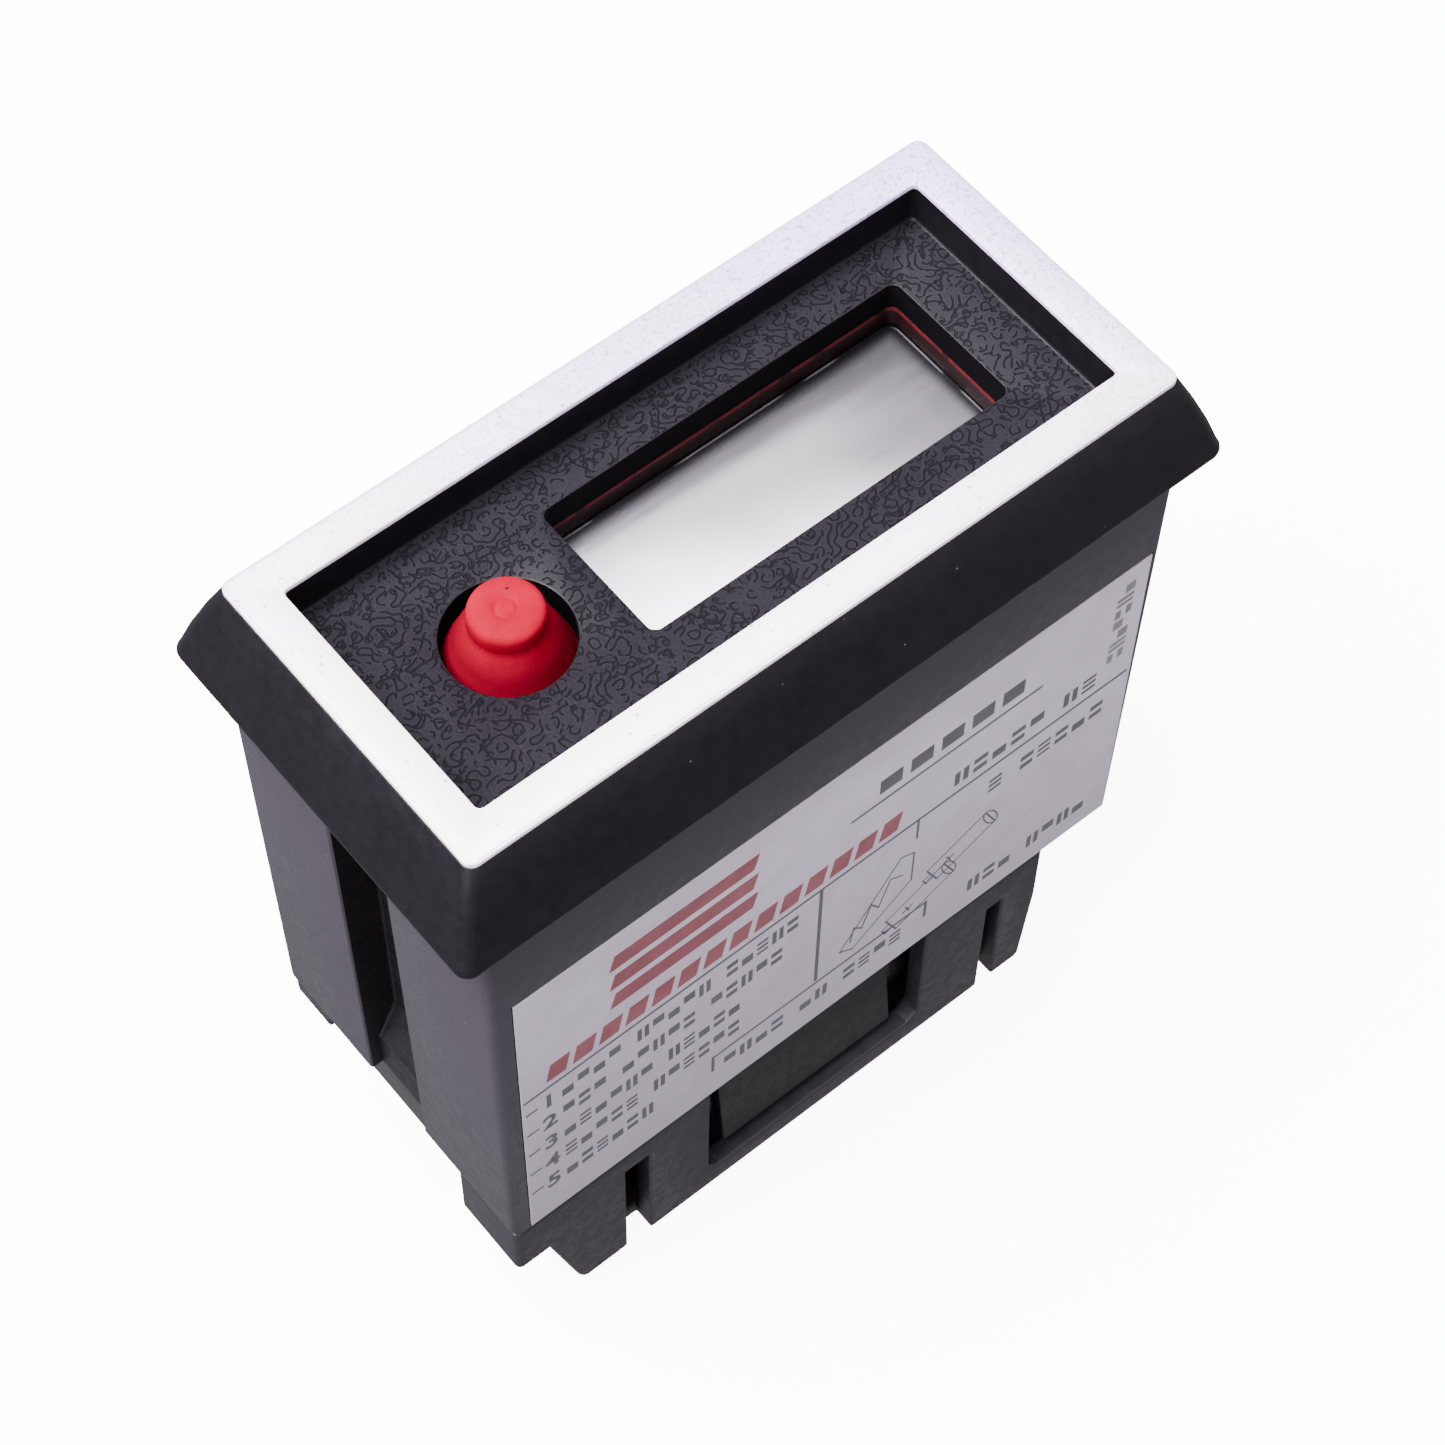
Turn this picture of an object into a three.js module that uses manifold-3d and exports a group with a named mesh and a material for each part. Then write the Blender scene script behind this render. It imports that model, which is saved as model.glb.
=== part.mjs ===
// Panel-mount electronic counter, battery powered, with a sprung reset button.
// Millimetres, +Z up. The counter stands on its rear cover with its front face up:
// +X runs along the long side toward the display end, -Y is the side with the rating label.
// The origin is the centre of the footprint on the resting surface.
import * as THREE from 'three';
import { mergeVertices } from 'three/addons/utils/BufferGeometryUtils.js';
import { ConvexGeometry } from 'three/addons/geometries/ConvexGeometry.js';
import Module from 'manifold-3d';

const wasm = await Module();
wasm.setup();

// ---------------------------------------------------------------- driving dimensions
const FACE_Z = 73.0;            // front face of the silver trim
const TRIM_W = 60.0, TRIM_H = 26.9, TRIM_BORDER = 3.0, TRIM_T = 0.4;
const RIM_Z = FACE_Z - TRIM_T;  // rim of the bezel under the trim
const FLANGE_W = 65.9, FLANGE_H = 32.4;
const SEAT_Z = 64.5;            // underside of the flange, the panel seat
const FLOOR_Z = 69.43;          // grained floor of the front recess
const PLATE_Z = 67.0;           // underside of the recess floor
const WIN = { x0: -8.92, x1: 22.17, y0: -5.27, y1: 6.80, r: 0.7 };  // display window
const BTN = { x: -16.5, y: 0.45, hole: 4.6, cap: 2.67 };            // reset button
const BTN_TRAVEL = 1.2;
const LCD_Z = 65.0;             // front of the display stack
const BOARD_TOP = 60.6, BOARD_T = 1.6;
const CASE_TOP_X = 30.4, CASE_BOT_X = 29.95, CASE_Y = 14.5;
const CASE_BOT = 17.2;          // rear plane of the case
const WALL = 1.8;
const GROOVE = { y0: -3.1, y1: 3.6, depth: 3.4, shallow: 1.35 };
const LABEL = { x0: -28.4, x1: 29.3, z0: 17.5, z1: 53.6, t: 0.2 };
const COVER_TOP = 17.08;        // seam between case and rear cover
const COVER_WALL = 1.8, COVER_FLOOR = 1.6;
const CELL_D = 12.0, CELL_L = 30.2, CELL_Y = 6.2, CELL_Z = 8.3;
const WAYS = 5, PITCH = 3.2, WAY_Y0 = 0.75 - 2 * PITCH;             // terminals
const SCREW_X = -25.2, CLAMP_TRAVEL = 1.5;

// ---------------------------------------------------------------- helpers
function solid(geo) {
  const g = geo.clone();
  for (const n of Object.keys(g.attributes)) if (n !== 'position') g.deleteAttribute(n);
  const m = mergeVertices(g, 1e-4);
  const pos = new Float32Array(m.attributes.position.array);
  const idx = new Uint32Array(m.index.array);
  return new wasm.Manifold(new wasm.Mesh({ numProp: 3, vertProperties: pos, triVerts: idx }));
}
function geometry(man) {
  const m = man.getMesh();
  const g = new THREE.BufferGeometry();
  const p = new Float32Array((m.vertProperties.length / m.numProp) * 3);
  for (let i = 0, j = 0; i < m.vertProperties.length; i += m.numProp, j += 3) {
    p[j] = m.vertProperties[i]; p[j + 1] = m.vertProperties[i + 1]; p[j + 2] = m.vertProperties[i + 2];
  }
  g.setAttribute('position', new THREE.BufferAttribute(p, 3));
  g.setIndex(new THREE.BufferAttribute(new Uint32Array(m.triVerts), 1));
  g.computeVertexNormals();
  return g;
}
function box(x0, x1, y0, y1, z0, z1) {
  const g = new THREE.BoxGeometry(x1 - x0, y1 - y0, z1 - z0);
  g.translate((x0 + x1) / 2, (y0 + y1) / 2, (z0 + z1) / 2);
  return solid(g);
}
function roundedShape(x0, x1, y0, y1, r) {
  const s = new THREE.Shape();
  s.moveTo(x0 + r, y0); s.lineTo(x1 - r, y0);
  s.absarc(x1 - r, y0 + r, r, -Math.PI / 2, 0, false); s.lineTo(x1, y1 - r);
  s.absarc(x1 - r, y1 - r, r, 0, Math.PI / 2, false); s.lineTo(x0 + r, y1);
  s.absarc(x0 + r, y1 - r, r, Math.PI / 2, Math.PI, false); s.lineTo(x0, y0 + r);
  s.absarc(x0 + r, y0 + r, r, Math.PI, Math.PI * 1.5, false);
  return s;
}
function prism(shape, z0, z1, seg = 4) {
  const g = new THREE.ExtrudeGeometry(shape, { depth: z1 - z0, bevelEnabled: false, curveSegments: seg, steps: 1 });
  g.translate(0, 0, z0);
  return solid(g);
}
const rbox = (x0, x1, y0, y1, r, z0, z1, seg = 4) => prism(roundedShape(x0, x1, y0, y1, r), z0, z1, seg);
function poly(points) {
  const s = new THREE.Shape();
  points.forEach(([x, y], i) => (i ? s.lineTo(x, y) : s.moveTo(x, y)));
  s.closePath();
  return s;
}
// a profile in X and Z, carried along Y
function slab(points, y0, y1) {
  const g = new THREE.ExtrudeGeometry(poly(points), { depth: y1 - y0, bevelEnabled: false, steps: 1 });
  g.rotateX(Math.PI / 2);
  g.translate(0, y1, 0);
  return solid(g);
}
// a profile in Y and Z, carried along X
function rail(points, x0, x1) {
  const g = new THREE.ExtrudeGeometry(poly(points), { depth: x1 - x0, bevelEnabled: false, steps: 1 });
  g.applyMatrix4(new THREE.Matrix4().makeBasis(
    new THREE.Vector3(0, 1, 0), new THREE.Vector3(0, 0, 1), new THREE.Vector3(1, 0, 0)));
  g.translate(x0, 0, 0);
  return solid(g);
}
function ring(hx, hy, r, z, n = 4) {
  const out = [];
  for (const [sx, sy, a0] of [[1, -1, -90], [1, 1, 0], [-1, 1, 90], [-1, -1, 180]]) {
    for (let i = 0; i <= n; i++) {
      const a = THREE.MathUtils.degToRad(a0 + (90 * i) / n);
      out.push(new THREE.Vector3(sx * (hx - r) + r * Math.cos(a), sy * (hy - r) + r * Math.sin(a), z));
    }
  }
  return out;
}
const hull = (...rings) => solid(new ConvexGeometry(rings.flat()));
function turned(profile, seg, x, y, z = 0) {
  const g = new THREE.LatheGeometry(profile.map(([r, h]) => new THREE.Vector2(r, h)), seg);
  g.rotateX(Math.PI / 2);
  g.translate(x, y, z);
  return g;
}
const post = (r, x, y, z0, z1, seg = 20) => solid(turned([[0, z0], [r, z0], [r, z1], [0, z1]], seg, x, y));
const all = (...s) => s.reduce((a, b) => a.add(b));

const MAT = {
  plastic: { color: 0x1a191d, roughness: 0.42, metalness: 0 },
  trim: { color: 0xd9d8de, roughness: 0.38, metalness: 0.85 },
  rubber: { color: 0xd3121c, roughness: 0.5, metalness: 0 },
  seal: { color: 0x5a0d10, roughness: 0.6, metalness: 0 },
  label: { color: 0xd7d4da, roughness: 0.45, metalness: 0.1 },
  glass: { color: 0xdfe4e6, roughness: 0.05, metalness: 0 },
  silver: { color: 0xb9b9bf, roughness: 0.25, metalness: 0.6 },
  board: { color: 0x1f5a33, roughness: 0.5, metalness: 0 },
  chip: { color: 0x151515, roughness: 0.45, metalness: 0 },
  steel: { color: 0xb4b4b2, roughness: 0.3, metalness: 1 },
  tin: { color: 0xc7c6c2, roughness: 0.35, metalness: 1 },
  brass: { color: 0xb99a5b, roughness: 0.35, metalness: 1 },
  carbon: { color: 0x0c0c0c, roughness: 0.7, metalness: 0 },
  elastomer: { color: 0x33333a, roughness: 0.7, metalness: 0 },
  terminal: { color: 0x232326, roughness: 0.45, metalness: 0 },
  sleeve: { color: 0x2c3f78, roughness: 0.3, metalness: 0.1 },
  cell: { color: 0x8b8f96, roughness: 0.35, metalness: 0.5 },
  resistor: { color: 0xc8a878, roughness: 0.45, metalness: 0 },
};
const counter = new THREE.Group();
counter.name = 'panel_counter';
function put(name, shape, mat) {
  const geo = shape.isBufferGeometry ? shape : geometry(shape);
  const mesh = new THREE.Mesh(geo, new THREE.MeshStandardMaterial(MAT[mat]));
  mesh.name = name;
  counter.add(mesh);
  return mesh;
}

// ---------------------------------------------------------------- end grooves, shared by case and bezel skirt
// Each end of the case carries an upright channel that steps out to a shallower one near the rear.
function grooveCut(side, grow = 0) {
  const o = side * 33, deep = side * (CASE_TOP_X - GROOVE.depth - grow), low = side * (CASE_TOP_X - 0.2 - GROOVE.shallow - grow);
  const pts = [[o, 70], [deep, 70], [deep, 25.0], [low, 21.6], [low, 10], [o, 10]];
  if (side < 0) pts.reverse();
  return slab(pts, GROOVE.y0 - grow, GROOVE.y1 + grow);
}

// ---------------------------------------------------------------- bezel
{
  const flare = hull(
    ring(30.1, 13.55, 0.9, RIM_Z), ring(31.15, 14.55, 1.15, 70.3), ring(32.1, 15.42, 1.4, 67.9),
    ring(32.95, 16.2, 1.7, 65.35), ring(32.88, 16.13, 1.65, 64.85), ring(32.45, 15.7, 1.4, SEAT_Z));
  const recess = rbox(-27, 27, -10.45, 10.45, 0.5, FLOOR_Z, 75, 3);
  const under = rbox(-27.2, 27.2, -11.4, 11.4, 0.6, 50, PLATE_Z, 3);
  const window_ = rbox(WIN.x0, WIN.x1, WIN.y0, WIN.y1, WIN.r, 60, 75, 4);
  const hole = post(BTN.hole, BTN.x, BTN.y, 60, 75, 40);
  let skirt = rbox(-28.45, 28.45, -12.55, 12.55, 0.8, 58.6, SEAT_Z + 0.5, 3)
    .subtract(rbox(-27.2, 27.2, -11.4, 11.4, 0.6, 50, 80, 3))
    .subtract(grooveCut(-1, 2.0)).subtract(grooveCut(1, 2.0));
  // the underside steps up a little over the case, so that only the flange round it seats on a panel
  const relief = rbox(-30.55, 30.55, -14.65, 14.65, 0.85, 60, SEAT_Z + 0.1, 4);
  // the skirt is trimmed only below the flange, where the channels' walls pass it
  let body = flare.subtract(recess).subtract(under).subtract(relief).add(skirt);
  const bosses = [[-25.3, -9.5], [-25.3, 9.5], [25.3, -9.55]];
  for (const [x, y] of bosses) body = body.add(post(1.75, x, y, BOARD_TOP + 0.1, PLATE_Z + 0.3, 16));
  for (const [x, y] of bosses) body = body.subtract(post(0.85, x, y, 50, PLATE_Z - 0.8, 12));
  body = body.subtract(window_).subtract(hole);
  put('bezel', body, 'plastic');
}

// ---------------------------------------------------------------- silver trim frame
{
  const frame = rbox(-TRIM_W / 2, TRIM_W / 2, -TRIM_H / 2, TRIM_H / 2, 0.8, RIM_Z, FACE_Z, 4)
    .subtract(rbox(-TRIM_W / 2 + TRIM_BORDER, TRIM_W / 2 - TRIM_BORDER, -TRIM_H / 2 + TRIM_BORDER, TRIM_H / 2 - TRIM_BORDER, 0.45, 70, 75, 3));
  put('trim_frame', frame, 'trim');
}

// ---------------------------------------------------------------- case shell
{
  const outer = hull(ring(CASE_TOP_X, CASE_Y, 0.8, SEAT_Z - 0.1), ring(CASE_BOT_X, CASE_Y, 0.8, CASE_BOT));
  let inner = rbox(-CASE_TOP_X + WALL, CASE_TOP_X - WALL, -CASE_Y + WALL, CASE_Y - WALL, 0.6, CASE_BOT + WALL, 80, 3)
    .subtract(grooveCut(-1, 1.5)).subtract(grooveCut(1, 1.5));
  let shell = outer.subtract(inner).subtract(grooveCut(-1)).subtract(grooveCut(1));
  // shallow pocket for the label, open at the rear edge
  shell = shell.subtract(box(LABEL.x0 - 0.12, LABEL.x1 + 0.12, -CASE_Y - 1, -CASE_Y + LABEL.t - 0.02, 10, LABEL.z1 + 0.12));
  // slot for the terminal pins, slots for the two battery tails
  shell = shell.subtract(box(-23.4, -22.2, WAY_Y0 - 0.8, WAY_Y0 + 4 * PITCH + 0.8, 10, 25));
  shell = shell.subtract(box(-18.3, -17.3, -8.2, -4.2, 10, 25)).subtract(box(-18.3, -17.3, 4.2, 8.2, 10, 25));
  put('case_shell', shell, 'plastic');
}

// ---------------------------------------------------------------- rating label
put('rating_label', box(LABEL.x0, LABEL.x1, -CASE_Y - 0.05, -CASE_Y - 0.05 + LABEL.t - 0.04, LABEL.z0, LABEL.z1), 'label');

// ---------------------------------------------------------------- rubber seal under the recess floor
{
  let seal = rbox(-22.6, 24.9, -7.2, 8.8, 0.8, LCD_Z + 0.03, PLATE_Z - 0.03, 3)
    .subtract(rbox(WIN.x0, WIN.x1, WIN.y0, WIN.y1, WIN.r, 60, 75, 4))
    .subtract(post(4.95, BTN.x, BTN.y, 60, 75, 32));
  put('rubber_seal', seal, 'seal');
}

// ---------------------------------------------------------------- display stack
put('display_film', rbox(-10.0, 23.2, -6.3, 7.85, 0.4, 64.80, LCD_Z, 2), 'glass');
put('display_front_glass', box(-10.2, 23.4, -7.0, 8.6, 64.08, 64.78), 'glass');
put('display_rear_glass', box(-10.2, 23.4, -5.6, 7.2, 63.36, 64.06), 'glass');
put('display_reflector', box(-9.9, 23.1, -5.5, 7.1, 63.10, 63.34), 'silver');
{
  const holder = rbox(-11.4, 24.5, -8.2, 9.8, 0.6, BOARD_TOP + 0.05, LCD_Z - 0.05, 2)
    .subtract(box(-10.3, 23.5, -7.1, 8.7, 50, 70));
  put('display_holder', holder, 'plastic');
}
put('contact_strip_front', box(-9.6, 22.8, -6.85, -5.75, BOARD_TOP + 0.04, 64.04), 'elastomer');
put('contact_strip_back', box(-9.6, 22.8, 7.35, 8.45, BOARD_TOP + 0.04, 64.04), 'elastomer');

// ---------------------------------------------------------------- display board and what it carries
{
  let board = rbox(-27.0, 27.0, -11.2, 11.2, 0.6, BOARD_TOP - BOARD_T, BOARD_TOP, 2);
  board = board.subtract(grooveCut(-1, 1.9)).subtract(grooveCut(1, 1.9));
  for (const [x, y] of [[-25.3, -9.5], [-25.3, 9.5], [25.3, -9.55]]) board = board.subtract(post(1.15, x, y, 50, 70, 14));
  put('display_board', board, 'board');
  const under = BOARD_TOP - BOARD_T;
  [[-25.3, -9.5], [-25.3, 9.5], [25.3, -9.55]].forEach(([x, y], i) => {
    const z = under - 0.05;
    let screw = solid(turned([[0, z - 1.3], [1.25, z - 1.3], [1.7, z - 0.85], [1.7, z], [0.72, z], [0.72, z + 5.4], [0.35, z + 6.0], [0, z + 6.0]], 14, x, y));
    screw = screw.subtract(box(x - 0.22, x + 0.22, y - 1.1, y + 1.1, z - 2, z - 0.75))
      .subtract(box(x - 1.1, x + 1.1, y - 0.22, y + 0.22, z - 2, z - 0.75));
    put('board_screw_' + (i + 1), screw, 'steel');
  });
  // counting chip with its rows of leads
  let chip = hull(ring(5.4, 5.4, 0.3, 0, 1), ring(5.6, 5.6, 0.3, -0.9, 1), ring(5.3, 5.3, 0.3, -1.9, 1)).translate([5.5, 0.6, under - 0.18]);
  for (let i = 0; i < 9; i++) {
    const o = -4.0 + i;
    chip = chip.add(box(5.5 - 6.9, 5.5 + 6.9, 0.6 + o - 0.2, 0.6 + o + 0.2, under - 1.25, under - 0.98));
    chip = chip.add(box(5.5 + o - 0.2, 5.5 + o + 0.2, 0.6 - 6.9, 0.6 + 6.9, under - 1.25, under - 0.98));
  }
  for (let i = 0; i < 9; i++) {
    const o = -4.0 + i;
    for (const s of [-1, 1]) {
      chip = chip.add(box(5.5 + s * 6.75 - 0.15, 5.5 + s * 6.75 + 0.15, 0.6 + o - 0.2, 0.6 + o + 0.2, under - 1.2, under - 0.06));
      chip = chip.add(box(5.5 + o - 0.2, 5.5 + o + 0.2, 0.6 + s * 6.75 - 0.15, 0.6 + s * 6.75 + 0.15, under - 1.2, under - 0.06));
    }
  }
  put('counter_chip', chip, 'chip');
  const can = new THREE.LatheGeometry([[0, -3], [0.9, -3], [1.05, -2.85], [1.05, 2.85], [0.9, 3], [0, 3]].map(([r, h]) => new THREE.Vector2(r, h)), 14);
  can.translate(-5.5, 5.0, under - 1.15);
  put('quartz_crystal', can, 'steel');
}

// ---------------------------------------------------------------- reset button
{
  // moulded cap: rounded crown, short cylinder, collar and a plunger toward the board
  const prof = [[0, 62.2], [1.5, 62.2], [1.5, 70.2], [2.85, 70.35], [2.95, 70.8], [2.78, 71.05], [2.7, 71.5],
    [BTN.cap, 72.45], [2.56, 72.75], [2.35, 72.92], [2.1, 72.98], [0, 72.98]];
  put('reset_button_cap', turned(prof, 40, BTN.x, BTN.y), 'rubber');
  // conical skirt of the same rubber, with a foot ring trapped under the recess floor
  const cone = [[3.9, 65.2], [4.8, 65.2], [4.8, 66.9], [4.5, 66.95], [4.42, 67.9], [3.35, 70.7], [3.02, 70.3],
    [3.9, 67.8], [3.9, 65.2]];
  put('button_skirt', turned(cone, 36, BTN.x, BTN.y), 'rubber');
  put('contact_pill', turned([[0, 61.8], [1.45, 61.8], [1.45, 62.16], [0, 62.16]], 18, BTN.x, BTN.y), 'carbon');
}

// ---------------------------------------------------------------- main board, upright at the button end
{
  put('main_board', box(-21.6, -20.0, -11.4, 11.4, 20.4, 56.4), 'board');
  let header = box(-19.9, -17.4, -7.0, 7.0, 54.0, 56.5);
  for (let i = 0; i < 5; i++) header = header.add(box(-19.0, -18.4, -5.4 + i * 2.7, -4.8 + i * 2.7, 56.0, 58.9));
  put('board_link_header', header, 'chip');
  const cap1 = new THREE.LatheGeometry([[0, 0], [2.3, 0], [2.5, 0.2], [2.5, 0.8], [2.35, 1.1], [2.5, 1.4], [2.5, 6.8], [2.2, 7.1], [0, 7.1]].map(([r, h]) => new THREE.Vector2(r, h)), 20);
  cap1.rotateZ(-Math.PI / 2); cap1.translate(-19.85, -6.5, 45);
  put('electrolytic_capacitor', cap1, 'sleeve');
  const disc = new THREE.LatheGeometry([[0, -1.1], [2.2, -1.0], [2.9, -0.5], [3.0, 0], [2.9, 0.5], [2.2, 1.0], [0, 1.1]].map(([r, h]) => new THREE.Vector2(r, h)), 20);
  disc.translate(-16.8, 5.5, 46);
  put('ceramic_capacitor', disc, 'resistor');
  [[33, 5.2], [38, 5.2]].forEach(([z, y], i) => {
    const body = [[0, -4.6], [0.28, -4.6], [0.28, -2.0], [0.9, -1.85], [0.95, -1.2], [0.75, -0.9], [0.75, 0.9], [0.95, 1.2], [0.9, 1.85], [0.28, 2.0], [0.28, 4.6], [0, 4.6]];
    const r = new THREE.LatheGeometry(body.map(([a, h]) => new THREE.Vector2(a, h)), 12);
    r.translate(-18.9, y - 9, z);
    put('resistor_' + (i + 1), r, 'resistor');
  });
}

// ---------------------------------------------------------------- terminal block with five screw clamps
{
  const x0 = -27.4, x1 = -21.4, y0 = WAY_Y0 - PITCH / 2, y1 = WAY_Y0 + 4.5 * PITCH, zb = 6.5, zt = 17.1;
  let block = slab([[x0 + 0.5, zb], [x1, zb], [x1, zt], [x0, zt], [x0, zb + 0.5]], y0 + 0.05, y1 - 0.05);
  for (let i = 0; i < WAYS; i++) {
    const y = WAY_Y0 + i * PITCH;
    block = block.subtract(box(-26.8, -23.6, y - 1.35, y + 1.35, 8.9, 16.5));        // clamp chamber
    block = block.subtract(post(1.3, SCREW_X, y, 0, 7.95, 16));                      // head well
    block = block.subtract(post(0.8, SCREW_X, y, 0, 12, 12));
    block = block.subtract(box(-35, -26, y - 0.95, y + 0.95, 13.25, 15.4));           // wire entry
    block = block.subtract(box(-24.5, -22.3, y - 0.65, y + 0.65, 12.4, 13.4));        // tongue slot
    block = block.subtract(box(-23.3, -22.3, y - 0.5, y + 0.5, 12.4, 20));            // pin slot
  }
  put('terminal_block', block, 'terminal');
  for (let i = 0; i < WAYS; i++) {
    const y = WAY_Y0 + i * PITCH;
    let screw = solid(turned([[0, 6.85], [0.95, 6.85], [1.12, 7.0], [1.12, 7.85], [0.6, 7.85], [0.6, 12.1], [0.4, 12.3], [0, 12.3]], 16, SCREW_X, y));
    screw = screw.subtract(box(SCREW_X - 1.5, SCREW_X + 1.5, y - 0.2, y + 0.2, 6, 7.4));
    put('terminal_screw_' + (i + 1), screw, 'steel');
    let cage = box(-26.6, -23.8, y - 1.2, y + 1.2, 10.6, 15.9)
      .subtract(box(-30, -23, y - 0.75, y + 0.75, 11.8, 15.2))
      .subtract(post(0.75, SCREW_X, y, 9, 12.2, 12));
    put('terminal_clamp_' + (i + 1), cage, 'brass');
    const pin = box(-23.1, -22.5, y - 0.35, y + 0.35, 12.6, 23.6)
      .add(box(-26.3, -22.5, y - 0.5, y + 0.5, 12.6, 13.2))
      .add(box(-23.1, -21.7, y - 0.35, y + 0.35, 23.0, 23.6));
    put('terminal_pin_' + (i + 1), pin, 'tin');
  }
}

// ---------------------------------------------------------------- battery holder, cells and contacts
{
  let holder = box(-19.2, 18.6, -12.2, 12.2, 15.0, 17.1);
  holder = holder.add(box(-19.2, -18.05, -12.2, 12.2, 3.0, 16));
  holder = holder.add(box(17.45, 18.6, -12.2, 12.2, 3.0, 16));
  // long tongue that leans outward into the notch of the cover
  holder = holder.add(rail([[-11.6, 17.1], [-12.35, 17.1], [-13.75, 4.7], [-12.95, 4.7], [-12.2, 11.5], [-11.6, 15.6]], -9.0, 8.35));
  holder = holder.subtract(box(-18.25, -17.45, -8.1, -4.3, 10, 25)).subtract(box(-18.25, -17.45, 4.3, 8.1, 10, 25));
  put('battery_holder', holder, 'plastic');

  const cellGeo = (sign) => {
    const p = [[0, 0], [5.4, 0], [5.85, 0.35], [6.0, 0.7], [6.0, 28.3], [5.8, 28.9], [5.2, 29.2], [2.4, 29.25], [2.1, 29.5], [2.0, 30.2], [0, 30.2]];
    const g = new THREE.LatheGeometry(p.map(([r, h]) => new THREE.Vector2(r * CELL_D / 12, h * CELL_L / 30.2)), 32);
    g.rotateZ(-sign * Math.PI / 2);
    return g;
  };
  const c1 = cellGeo(1); c1.translate(-13.25, -CELL_Y, CELL_Z); put('cell_1', c1, 'cell');
  const c2 = cellGeo(-1); c2.translate(12.65, CELL_Y, CELL_Z); put('cell_2', c2, 'cell');

  // spring strips: a flat pad against the holder's end wall, with a tail up to the main board
  const strip = (y) => box(-18.0, -17.6, y - 3.2, y + 3.2, 4.4, 12.4)
    .add(box(-18.0, -17.6, y - 1.4, y + 1.4, 12.0, 26.4))
    .add(box(-19.85, -17.6, y - 1.4, y + 1.4, 26.0, 26.4));
  put('battery_contact_negative', strip(-CELL_Y), 'tin');
  put('battery_contact_positive', strip(CELL_Y), 'tin');
  put('cell_bridge', box(17.0, 17.4, -9.6, 9.6, 4.4, 12.4), 'tin');

  class Coil extends THREE.Curve {
    constructor(x0, x1, y) { super(); this.x0 = x0; this.x1 = x1; this.y = y; }
    getPoint(t, v = new THREE.Vector3()) {
      const a = t * 2 * Math.PI * 4, r = 3.9 - 1.5 * t;
      const e = Math.min(Math.max((t - 0.08) / 0.84, 0), 1);
      return v.set(this.x0 + (this.x1 - this.x0) * e, this.y + r * Math.cos(a), CELL_Z + r * Math.sin(a));
    }
  }
  const wire = new THREE.Shape(); wire.absarc(0, 0, 0.27, 0, Math.PI * 2, false);
  const spring = (a, b, y) => new THREE.ExtrudeGeometry(wire, { steps: 72, curveSegments: 3, bevelEnabled: false, extrudePath: new Coil(a, b, y) });
  put('cell_spring_1', spring(-17.25, -13.65, -CELL_Y), 'steel');
  put('cell_spring_2', spring(16.65, 13.05, CELL_Y), 'steel');
}

// ---------------------------------------------------------------- rear cover
{
  const out = poly([[-27.7, -CASE_Y], [23.2, -CASE_Y], [23.2, 14.4], [-24.0, 14.4], [-24.0, 9.2], [-21.2, 9.2], [-21.2, -7.4], [-27.7, -7.4]]);
  let cover = prism(out, 0, COVER_TOP);
  // the label-side prong leans in toward the rear, and so does the far wall a little
  cover = cover.subtract(slab([[-34, -2], [-23.95, -2], [-23.95, 0], [-26.95, 11.0], [-26.95, 30], [-34, 30]].reverse(), -20, -7.4));
  cover = cover.subtract(slab([[22.35, -2], [34, -2], [34, 30], [23.2, 30], [23.2, 10], [22.35, 0]].reverse(), -20, 20));
  cover = cover.add(box(-29.9, -26.5, -CASE_Y, -7.4, 10.9, COVER_TOP));
  cover = cover.add(box(-29.9, -23.5, 9.2, 13.9, 15.2, COVER_TOP));
  // cavity for the cells and their holder
  cover = cover.subtract(box(-19.8, 21.4, -CASE_Y + COVER_WALL, 12.6, COVER_FLOOR, 30));
  cover = cover.subtract(box(-23.2, -19.5, -CASE_Y + COVER_WALL, -9.0, COVER_FLOOR, 30));
  // finger slots beside the latching corners, open at the rear
  for (const [a, b] of [[-CASE_Y - 1, -12.5], [12.4, 16]]) {
    cover = cover.subtract(rbox(-19.4, -17.1, -30, 30, 0.3, -1, 14.4).intersect(box(-30, 30, a, b, -1, 14.4)));
    cover = cover.subtract(box(17.5, 19.06, a, b, -1, 13.5));
  }
  // notch for the holder's tongue
  cover = cover.subtract(slab([[-11.1, 3.9], [-10.2, 3.0], [9.9, 3.0], [10.8, 3.9], [10.8, 30], [-11.1, 30]].reverse(), -20, -12.6));
  put('rear_cover', cover, 'plastic');
}

export default counter;
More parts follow.
